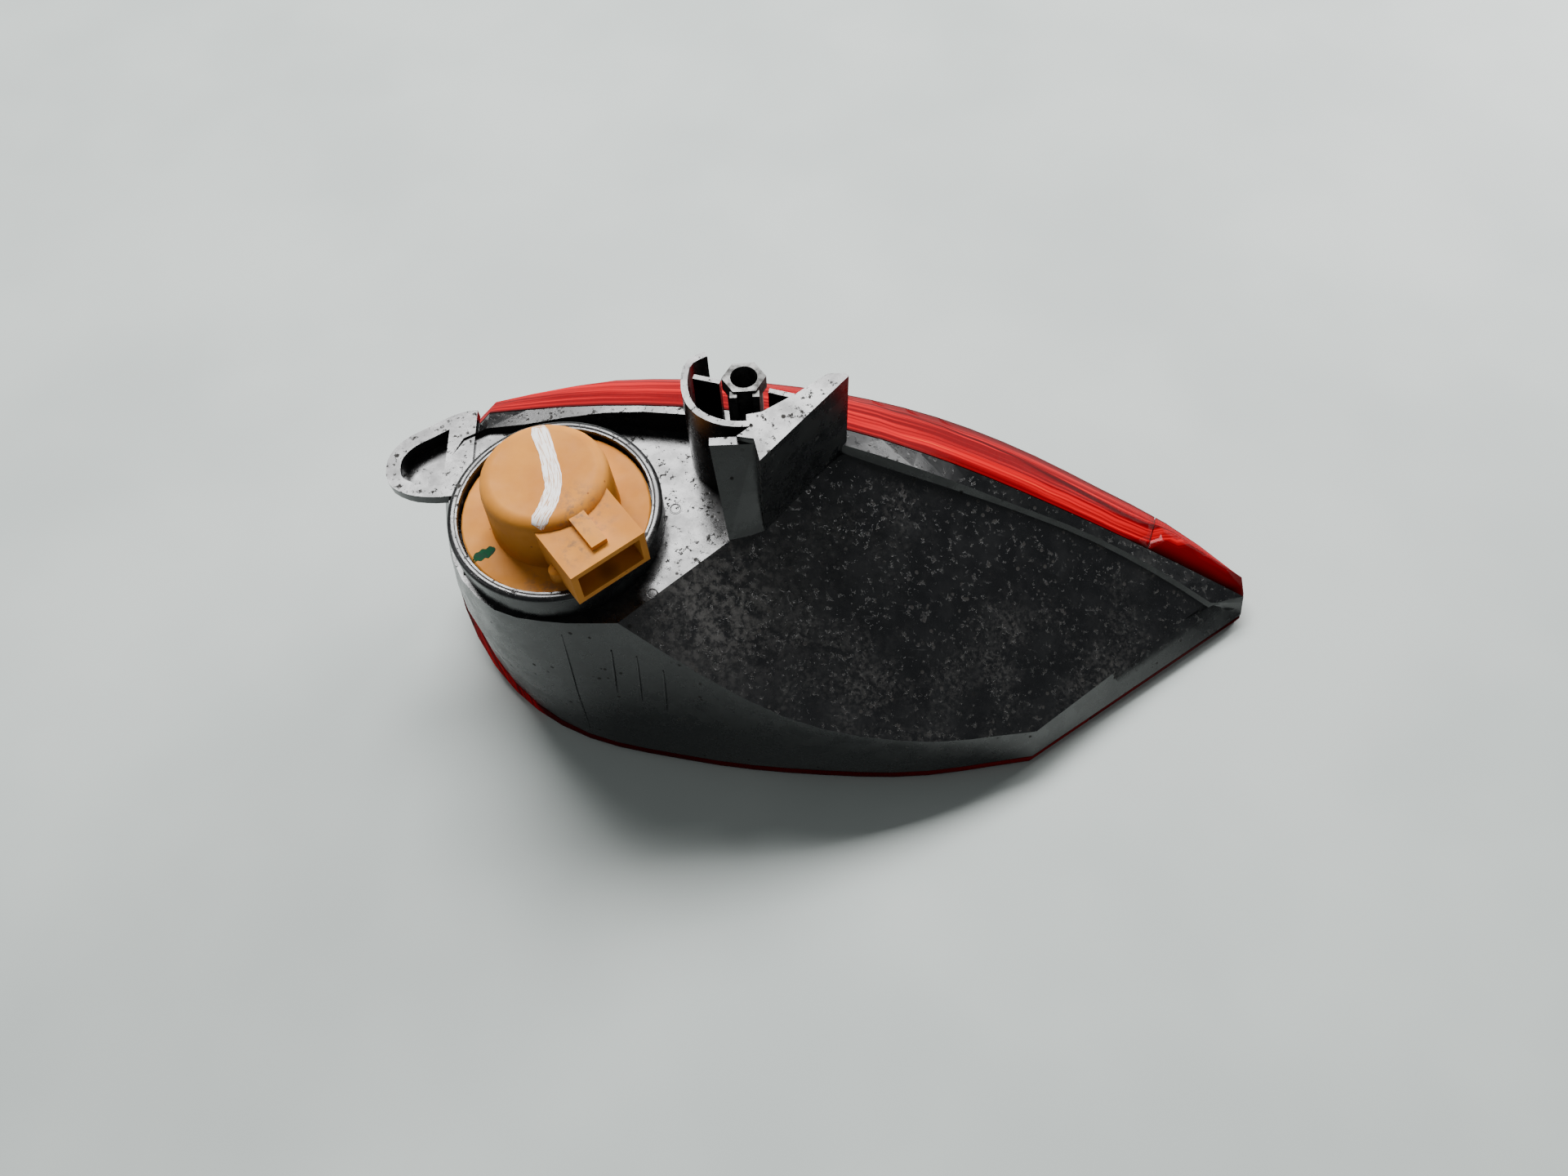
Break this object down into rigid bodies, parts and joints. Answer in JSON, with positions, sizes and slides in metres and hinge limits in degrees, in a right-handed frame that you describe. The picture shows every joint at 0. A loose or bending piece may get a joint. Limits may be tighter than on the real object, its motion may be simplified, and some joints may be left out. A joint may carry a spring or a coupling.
{
  "type": "vehicle rear lamp",
  "caption": "Tapered rear bumper lamp: black moulded housing with bracket, two-part red lens and a twist-lock bulb holder with bayonet bulb.",
  "frame": {"origin": "middle of the whole lamp's box, on the surface that the lens lies on", "axes": "+Z along the bulb axis, out of the back of the lamp; +X along the lamp to its tapered end; +Y to the edge that the lens wraps"},
  "size_m": [0.2276, 0.1028, 0.0895],
  "materials": {
    "housing_black": "black moulded ABS, satin gloss with dust and fine scuffs",
    "holder_orange": "tan-orange moulded nylon, satin",
    "lamp_red": "clear red acrylic with fine optic flutes inside",
    "reflex_red": "deep red acrylic, smooth outside",
    "metallised": "vacuum-metallised bowl",
    "rubber": "black rubber",
    "zinc_steel": "zinc plated spring steel",
    "tinned_brass": "tinned brass",
    "insulator_black": "black insulator",
    "nickel": "nickel plated brass",
    "solder": "dull tin solder",
    "clear_glass": "clear soda-lime glass",
    "tungsten": "dark tungsten coil"
  },
  "bodies": {
    "housing": {"rear_housing": "housing_black", "snap_in_nut": "zinc_steel", "lens_main": "lamp_red", "lens_reflex": "reflex_red", "reflector": "metallised", "reflex_backing": "housing_black"},
    "holder": {"bulb_holder": "holder_orange", "holder_gasket": "rubber", "socket_sleeve": "tinned_brass", "terminal_live": "tinned_brass", "terminal_earth": "tinned_brass", "contact_spring": "zinc_steel"},
    "plunger": {"contact_carrier": "insulator_black", "centre_contact": "tinned_brass"},
    "bulb": {"bulb_base": "nickel", "bulb_pin_left": "nickel", "bulb_pin_right": "nickel", "bulb_insulator": "insulator_black", "bulb_contact": "solder", "bulb_glass": "clear_glass", "bulb_stem": "clear_glass", "filament_post_left": "nickel", "filament_post_right": "nickel", "filament": "tungsten"}
  },
  "joints": [
    {"name": "holder_turn", "type": "hinge", "parent": "housing", "child": "holder", "pos_m": [-0.06914, -0.00371, 0.06], "axis": [0, 0, 1], "range_deg": [0, 40]},
    {"name": "bulb_push", "type": "slide", "parent": "holder", "child": "plunger", "axis": [0, 0, 1], "range_m": [0, 0.0018], "stiffness_N_per_m": 2500, "springref_m": -0.0008, "deforming": ["contact_spring"]},
    {"name": "bulb_turn", "type": "hinge", "parent": "plunger", "child": "bulb", "pos_m": [-0.06914, -0.00371, 0.064], "axis": [0, 0, 1], "range_deg": [0, 28]}
  ]
}
